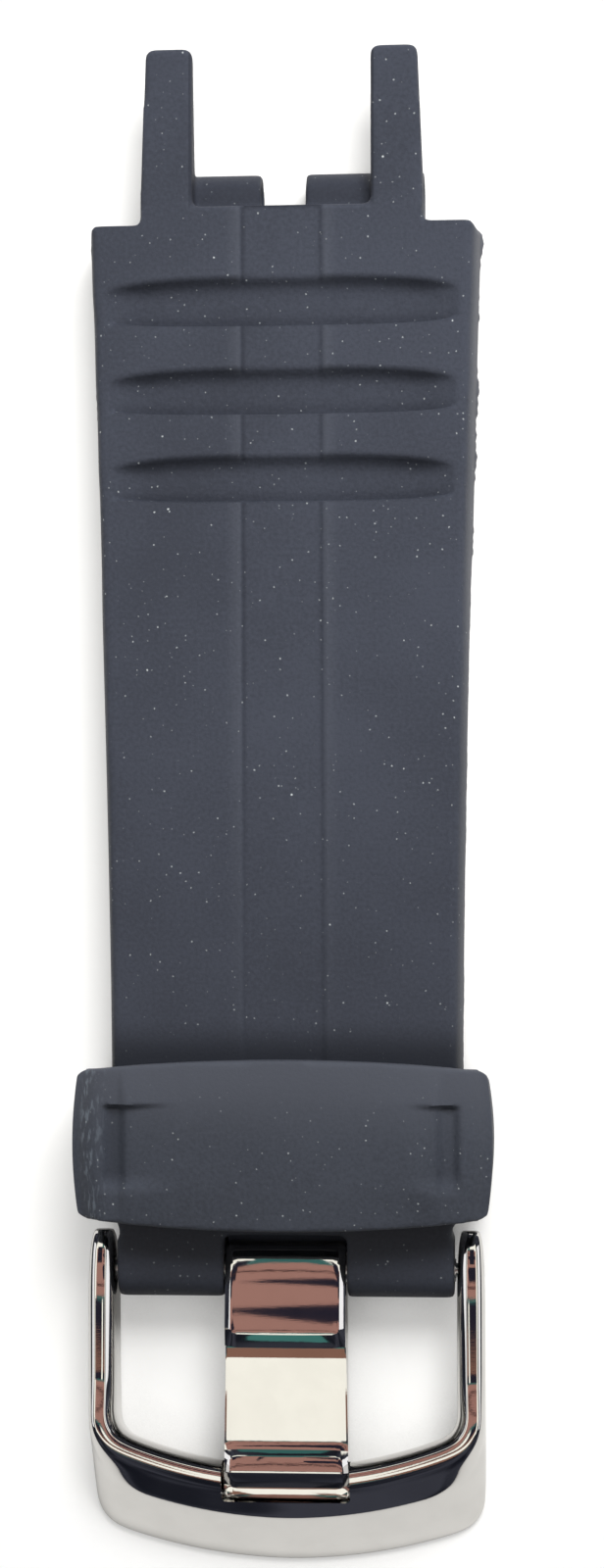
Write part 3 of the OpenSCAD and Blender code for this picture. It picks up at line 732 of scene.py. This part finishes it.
def add_rings(name, rounds, slices):
    """A grid that wraps round a section: gives it, and for each of its vertices the
    step round the section and the place along the piece."""
    bpy.ops.object.select_all(action="DESELECT")
    bpy.ops.mesh.primitive_grid_add(x_subdivisions=rounds, y_subdivisions=slices - 1, size=2)
    piece = bpy.context.object
    piece.name = name
    return piece, [(vertex, round((vertex.co.x + 1) / 2 * rounds) % rounds,
                    round((vertex.co.y + 1) / 2 * (slices - 1))) for vertex in piece.data.vertices]


buckle, ring_points = add_rings("buckle_frame_polished", len(section),
                                len(arm_stations) + len(bow_stations))
for vertex, step, place in ring_points:
    half, radius, corner, bar_height, bow_height = section[step]
    if place < len(arm_stations):
        y, swell = arm_stations[place]
        x = arm_middle + (half - arm_middle) * (arm_end_width + (1 - arm_end_width) * swell)
        share = (arm_end - y) / arm_length * arm_share
    else:
        share = bow_stations[place - len(arm_stations)]
        x, y = guide(half, radius, corner, share)
        swell = 1
        share = arm_share + share
    turn = soft_step(0, 2.2, share)
    height = bar_height + (bow_height - bar_height) * turn
    height = arm_end_height + (height - arm_end_height) * swell
    vertex.co = Vector((x, y, height + table_height)) * mm
bpy.ops.object.mode_set(mode="EDIT")
bpy.ops.mesh.select_all(action="SELECT")
bpy.ops.mesh.remove_doubles(threshold=weld)
bpy.ops.mesh.select_all(action="DESELECT")
bpy.ops.object.mode_set(mode="OBJECT")
for edge in buckle.data.edges:
    edge.select = all(buckle.data.vertices[v].co.y > (arm_end - 0.03) * mm for v in edge.vertices)
bpy.ops.object.mode_set(mode="EDIT")
bpy.ops.mesh.edge_face_add()
bpy.ops.object.mode_set(mode="OBJECT")
finish_with(buckle, "MIRROR", use_clip=True, merge_threshold=0.00001)
bpy.ops.object.mode_set(mode="EDIT")
bpy.ops.mesh.select_all(action="SELECT")
bpy.ops.mesh.normals_make_consistent(inside=False)
bpy.ops.object.mode_set(mode="OBJECT")
finish_with(buckle, "SUBSURF", levels=3, render_levels=3)


def cut_with(piece, cutter):
    """Cuts the selected cutter out of a piece and takes the cutter away."""
    finish_with(piece, "BOOLEAN", operation="DIFFERENCE", solver="EXACT", object=cutter)
    bpy.data.objects.remove(cutter)
    bpy.ops.object.select_all(action="DESELECT")


# The seat for the tongue's tip, and the eyes that hold the sprung bar's tips
seat_width, seat_end, seat_floor, seat_corner = 8.95, 15.98, 0.28, 0.3
eye_radius = 0.55
# The cutters are this long, past the walls that they cut
cutter_length = 4
bpy.ops.object.select_all(action="DESELECT")
bpy.ops.mesh.primitive_cube_add(size=1)
cutter = bpy.context.object
cutter.scale = (seat_width * mm, cutter_length * mm, cutter_length * mm)
cutter.location = (0, (bar_line - seat_end + cutter_length / 2) * mm,
                   (bar_level + seat_floor + cutter_length / 2 + table_height) * mm)
bpy.ops.object.transform_apply()
finish_with(cutter, "BEVEL", width=seat_corner * mm, segments=4)
cut_with(buckle, cutter)
for side in (-1, 1):
    bpy.ops.mesh.primitive_cylinder_add(
        vertices=32, radius=eye_radius * mm, depth=cutter_length * mm, rotation=(0, math.pi / 2, 0),
        location=(side * arm_middle * mm, bar_line * mm, bar_centre * mm))
    cut_with(buckle, bpy.context.object)

polished_steel, wires = new_finish("polished_steel_mirror")
here = object_place(wires)
smears = wires.node("ShaderNodeTexNoise", {}, {"Vector": here, "Scale": 420, "Detail": 3})
hairlines = wires.node("ShaderNodeTexNoise", {}, {
    "Vector": wires.node("ShaderNodeMapping", {}, {"Vector": here, "Scale": (1, 9, 1)}),
    "Scale": 1500, "Detail": 2})
steel_dull, steel_bright = (0.675, 0.665, 0.645), (0.70, 0.69, 0.67)
tint = smears.rise(0.35, 0.65).mix(steel_dull, steel_bright)
fine = wires.node("ShaderNodeBump", {}, {
    "Strength": 0.03, "Distance": 0.00002, "Height": hairlines})
mirror = wires.node("ShaderNodeBsdfPrincipled", {}, {
    "Base Color": tint, "Metallic": 1.0, "Roughness": smears * 0.035 + 0.03, "Normal": fine})
wires.node("ShaderNodeOutputMaterial", {}, {"Surface": mirror})


def close_steel(piece, body, node, crease):
    """Smooths a steel piece, gives it its finish and puts it in its place."""
    pick(piece)
    bpy.ops.object.shade_smooth_by_angle(angle=math.radians(crease))
    piece.data.materials.clear()
    piece.data.materials.append(polished_steel)
    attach(piece, body)
    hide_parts(node)


frame_crease, tongue_crease = 32, 22
close_steel(buckle, "frame", "buckle_frame", frame_crease)


# The tongue: polished steel too, a wide prong milled from one bar. Its barrel
# turns on the sprung bar under a raised block, and past a low saddle its tip
# lies in the bow's seat. Every edge of its top is chamfered.
tongue_half, chamfer_start, low_edge = 4.2, 3.80, 4.08
bore_radius, bore_cutter, edge_bevel = 0.95, 12, 0.09
# It widens a little towards its tip: by which share, from where and over which length
tip_widening, widen_from, widen_length = 0.04, 5, 10
# Side view, as distance from the sprung bar and height over it, then how far
# the long edges fall there and how far the corners tuck in
tongue_side = [
    (0.95, -1.42, 0, 0), (0.3, -1.67, 0, 0), (-0.4, -1.65, 0, 0), (-1.0, -1.37, 0, 0),
    (-1.42, -0.93, 0, 0), (-1.66, -0.36, 0, 0), (-1.74, 0.3, 0, 0), (-1.67, 0.76, 0.05, 0.05),
    (-1.50, 1.05, 0.20, 0.16), (-1.30, 1.195, 0.27, 0.30), (-0.92, 1.335, 0.27, 0.32),
    (-0.68, 1.41, 0.27, 0.20), (0.0, 1.60, 0.27, 0.04), (1.0, 1.82, 0.27, 0), (2.0, 2.00, 0.27, 0),
    (3.0, 2.14, 0.27, 0), (3.9, 2.235, 0.27, -0.06), (4.25, 2.26, 0.27, -0.36), (4.40, 2.20, 0.25, -0.38),
    (5.22, 1.90, 0.15, -0.10), (5.25, 1.27, 0, 0), (5.32, 1.25, 0, 0), (5.95, 1.085, 0, 0),
    (6.25, 1.045, 0, 0), (9.0, 1.03, 0, 0), (11.7, 1.04, 0, 0), (12.05, 1.07, 0, 0),
    (12.40, 1.14, 0.04, 0.05), (12.72, 1.38, 0.22, 0.22), (12.86, 1.44, 0.25, 0.22),
    (13.3, 1.495, 0.25, 0), (13.82, 1.56, 0.25, 0), (13.94, 1.57, 0.25, 0), (14.06, 1.51, 0.25, 0),
    (14.92, 1.03, 0.24, 0), (15.10, 0.93, 0.22, -0.16), (15.22, 0.905, 0.12, -0.22), (15.76, 0.90, 0, -0.42),
    (15.78, 0.38, 0, -0.42), (12.9, 0.38, 0, 0), (12.55, -0.35, 0, 0), (8.5, -0.38, 0, 0),
    (4.7, -0.38, 0, 0), (2.2, -0.9, 0, 0)]
# Across: place, then how much of the edge's fall and of the corner's tuck it takes
tongue_slices = [
    (-tongue_half, 1, 1.3), (-chamfer_start, 0, 1), (-3.64, 0, 0.42), (-3.3, 0, 0.08), (-1.2, 0, 0),
    (1.2, 0, 0), (3.3, 0, 0.08), (3.64, 0, 0.42), (chamfer_start, 0, 1), (tongue_half, 1, 1.3)]
tongue, ring_points = add_rings("buckle_tongue_polished", len(tongue_side), len(tongue_slices))
for vertex, step, place in ring_points:
    x, at_edge, at_corner = tongue_slices[place]
    out, up, fall, tuck = tongue_side[step]
    if fall == 0 and at_corner == 1:
        x *= low_edge / chamfer_start
    x *= 1 + tip_widening * min(max((out - widen_from) / widen_length, 0), 1)
    vertex.co = Vector((x, bar_line - out - tuck * at_corner,
                        bar_level + up - at_edge * fall + table_height)) * mm
bpy.ops.object.mode_set(mode="EDIT")
bpy.ops.mesh.select_all(action="SELECT")
bpy.ops.mesh.remove_doubles(threshold=weld)
for end in (-1, 1):
    bpy.ops.mesh.select_all(action="DESELECT")
    bpy.ops.object.mode_set(mode="OBJECT")
    for edge in tongue.data.edges:
        edge.select = all(tongue.data.vertices[v].co.x * end > (tongue_half - 0.01) * mm
                          for v in edge.vertices)
    bpy.ops.object.mode_set(mode="EDIT")
    bpy.ops.mesh.edge_face_add()
bpy.ops.mesh.select_all(action="SELECT")
bpy.ops.mesh.normals_make_consistent(inside=False)
bpy.ops.object.mode_set(mode="OBJECT")
finish_with(tongue, "BEVEL", width=edge_bevel * mm, segments=3, limit_method="ANGLE",
            angle_limit=math.radians(16), harden_normals=False)
bpy.ops.object.select_all(action="DESELECT")
bpy.ops.mesh.primitive_cylinder_add(
    vertices=48, radius=bore_radius * mm, depth=bore_cutter * mm, rotation=(0, math.pi / 2, 0),
    location=(0, bar_line * mm, bar_centre * mm))
cut_with(tongue, bpy.context.object)
close_steel(tongue, "tongue", "buckle_tongue", tongue_crease)


# The sprung bar: a turned steel tube with a sprung tip at each end, pushed in
# to take the buckle off. Only its ends show, in the frame's eyes.
turned_dark, turned_bright = (0.50, 0.51, 0.53), (0.66, 0.67, 0.69)
bar_steel, wires = new_finish("turned_bar_steel")
rings = wires.node("ShaderNodeTexNoise", {}, {
    "Vector": wires.node("ShaderNodeMapping", {}, {
        "Vector": object_place(wires), "Scale": (9, 0.3, 0.3)}),
    "Scale": 1400, "Detail": 2})
bump = wires.node("ShaderNodeBump", {}, {"Strength": 0.2, "Distance": 0.00002, "Height": rings})
turned = wires.node("ShaderNodeBsdfPrincipled", {}, {
    "Base Color": rings.rise(0.3, 0.7).mix(turned_dark, turned_bright),
    "Metallic": 1.0, "Roughness": rings * 0.15 + 0.24, "Normal": bump})
wires.node("ShaderNodeOutputMaterial", {}, {"Surface": turned})
for node in ("bar_tube", "bar_pin_left", "bar_pin_right"):
    frame["nodes"][node].data.materials.clear()
    frame["nodes"][node].data.materials.append(bar_steel)
# The coil is made in two halves, one at each tip
coil_half, tip_travel, coil_crease = 5.515, 1.2, 70
coils = [copy_merged(name, ["bar_spring"]) for name in ("bar_coil_left", "bar_coil_right")]
for coil, end, slide in zip(coils, (-1, 1), ("left_tip_slide", "right_tip_slide")):
    pick(coil)
    bpy.ops.object.mode_set(mode="EDIT")
    bpy.ops.mesh.select_all(action="SELECT")
    bpy.ops.mesh.bisect(plane_co=(0, 0, 0), plane_no=(end, 0, 0), use_fill=True,
                        clear_inner=True, threshold=0.0000001)
    bpy.ops.object.mode_set(mode="OBJECT")
    bpy.ops.object.shade_smooth_by_angle(angle=math.radians(coil_crease))
    coil.data.materials.append(bar_steel)
    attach(coil, "tail")
    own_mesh(coil)
    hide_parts("bar_spring")
